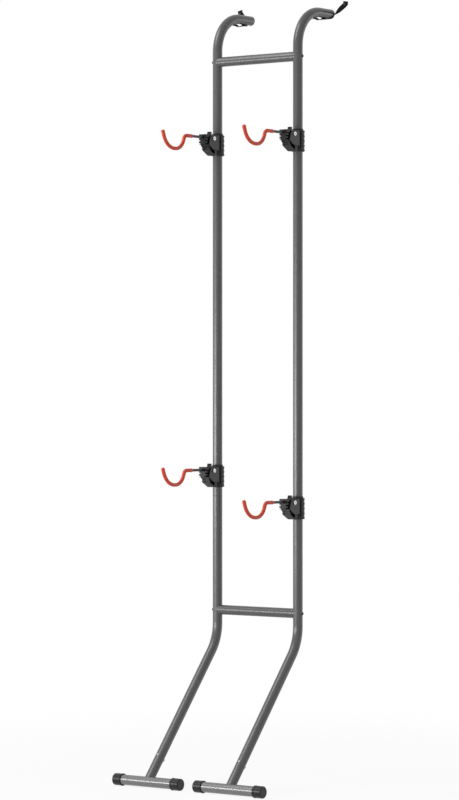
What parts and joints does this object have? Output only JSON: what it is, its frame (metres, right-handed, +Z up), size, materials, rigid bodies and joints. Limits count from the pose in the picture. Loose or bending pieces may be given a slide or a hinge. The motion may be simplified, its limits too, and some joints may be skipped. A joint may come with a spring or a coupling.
{
  "type": "bike rack",
  "caption": "Gravity bike rack: bent tube frame on T-feet leans on a wall, and sliding, swivelling brackets hold bicycles on soft-covered hooks.",
  "frame": {"origin": "on the floor, midway between the uprights, at the middle of the footprint from the front of the feet to the tips of the wall screws", "axes": "+Z up along the uprights; +Y horizontal towards the wall; +X horizontal to the right of someone who faces the wall"},
  "size_m": [0.5376, 0.5342, 2.3056],
  "materials": {
    "frame_paint": "graphite grey powder coat on steel tube",
    "foot_paint": "grey powder coat on steel tube, a little glossier than the uprights",
    "zinc_steel": "bright zinc",
    "hook_steel": "grey coat on steel rod",
    "black_steel": "black oxide",
    "black_plastic": "fine moulded grain",
    "plug_plastic": "satin",
    "grip_rubber": "matte",
    "red_vinyl": "satin soft vinyl",
    "webbing": "woven nylon"
  },
  "bodies": {
    "frame": {"upper_upright_left": "frame_paint", "upper_upright_right": "frame_paint", "lower_upright_left": "frame_paint", "lower_upright_right": "frame_paint", "coupling_sleeve_left": "zinc_steel", "coupling_sleeve_right": "zinc_steel", "foot_bar_left": "foot_paint", "foot_bar_right": "foot_paint", "foot_cap_left_outer": "black_plastic", "foot_cap_left_inner": "black_plastic", "foot_cap_right_inner": "black_plastic", "foot_cap_right_outer": "black_plastic", "top_plug_left": "plug_plastic", "top_plug_right": "plug_plastic", "upper_crossbar": "frame_paint", "lower_crossbar": "frame_paint", "crossbar_inserts": "zinc_steel", "crossbar_bolts": "frame_paint", "leg_bolts": "zinc_steel", "leg_nuts": "zinc_steel", "wall_strap_left": "webbing", "wall_strap_right": "webbing", "strap_clip_left": "black_plastic", "strap_clip_right": "black_plastic", "strap_screws": "black_steel", "wall_screws": "zinc_steel"},
    "sleeve_upper_left": {"slide_sleeve_upper_left": "black_plastic"},
    "collar_upper_left": {"collar_upper_left": "black_plastic", "pivot_bolt_upper_left": "zinc_steel", "pivot_nut_upper_left": "zinc_steel"},
    "arm_upper_left": {"arm_block_upper_left": "black_plastic", "grip_pad_upper_left": "grip_rubber", "hook_rod_upper_left": "hook_steel", "hook_cover_upper_left": "red_vinyl"},
    "sleeve_upper_right": {"slide_sleeve_upper_right": "black_plastic"},
    "collar_upper_right": {"collar_upper_right": "black_plastic", "pivot_bolt_upper_right": "zinc_steel", "pivot_nut_upper_right": "zinc_steel"},
    "arm_upper_right": {"arm_block_upper_right": "black_plastic", "grip_pad_upper_right": "grip_rubber", "hook_rod_upper_right": "hook_steel", "hook_cover_upper_right": "red_vinyl"},
    "sleeve_lower_left": {"slide_sleeve_lower_left": "black_plastic"},
    "collar_lower_left": {"collar_lower_left": "black_plastic", "pivot_bolt_lower_left": "zinc_steel", "pivot_nut_lower_left": "zinc_steel"},
    "arm_lower_left": {"arm_block_lower_left": "black_plastic", "grip_pad_lower_left": "grip_rubber", "hook_rod_lower_left": "hook_steel", "hook_cover_lower_left": "red_vinyl"},
    "sleeve_lower_right": {"slide_sleeve_lower_right": "black_plastic"},
    "collar_lower_right": {"collar_lower_right": "black_plastic", "pivot_bolt_lower_right": "zinc_steel", "pivot_nut_lower_right": "zinc_steel"},
    "arm_lower_right": {"arm_block_lower_right": "black_plastic", "grip_pad_lower_right": "grip_rubber", "hook_rod_lower_right": "hook_steel", "hook_cover_lower_right": "red_vinyl"}
  },
  "joints": [
    {"name": "slide_upper_left", "type": "slide", "parent": "frame", "child": "sleeve_upper_left", "axis": [0, 0, 1], "range_m": [-0.69, 0.182]},
    {"name": "swivel_upper_left", "type": "hinge", "parent": "sleeve_upper_left", "child": "collar_upper_left", "pos_m": [-0.1475, 0.08411, 1.9], "axis": [0, 0, 1], "range_deg": [-75, 75]},
    {"name": "tilt_upper_left", "type": "hinge", "parent": "collar_upper_left", "child": "arm_upper_left", "pos_m": [-0.1475, 0.04411, 1.9], "axis": [-1, 0, 0], "range_deg": [0, 18]},
    {"name": "slide_upper_right", "type": "slide", "parent": "frame", "child": "sleeve_upper_right", "axis": [0, 0, 1], "range_m": [-0.69, 0.182]},
    {"name": "swivel_upper_right", "type": "hinge", "parent": "sleeve_upper_right", "child": "collar_upper_right", "pos_m": [0.1475, 0.08411, 1.9], "axis": [0, 0, 1], "range_deg": [-75, 75]},
    {"name": "tilt_upper_right", "type": "hinge", "parent": "collar_upper_right", "child": "arm_upper_right", "pos_m": [0.1475, 0.04411, 1.9], "axis": [-1, 0, 0], "range_deg": [0, 18]},
    {"name": "slide_lower_left", "type": "slide", "parent": "frame", "child": "sleeve_lower_left", "axis": [0, 0, 1], "range_m": [-0.34, 0.208]},
    {"name": "swivel_lower_left", "type": "hinge", "parent": "sleeve_lower_left", "child": "collar_lower_left", "pos_m": [-0.1475, 0.08411, 0.9145], "axis": [0, 0, 1], "range_deg": [-75, 75]},
    {"name": "tilt_lower_left", "type": "hinge", "parent": "collar_lower_left", "child": "arm_lower_left", "pos_m": [-0.1475, 0.04411, 0.9145], "axis": [-1, 0, 0], "range_deg": [0, 18]},
    {"name": "slide_lower_right", "type": "slide", "parent": "frame", "child": "sleeve_lower_right", "axis": [0, 0, 1], "range_m": [-0.25, 0.296]},
    {"name": "swivel_lower_right", "type": "hinge", "parent": "sleeve_lower_right", "child": "collar_lower_right", "pos_m": [0.1475, 0.08411, 0.8255], "axis": [0, 0, 1], "range_deg": [-75, 75]},
    {"name": "tilt_lower_right", "type": "hinge", "parent": "collar_lower_right", "child": "arm_lower_right", "pos_m": [0.1475, 0.04411, 0.8255], "axis": [-1, 0, 0], "range_deg": [0, 18]}
  ]
}
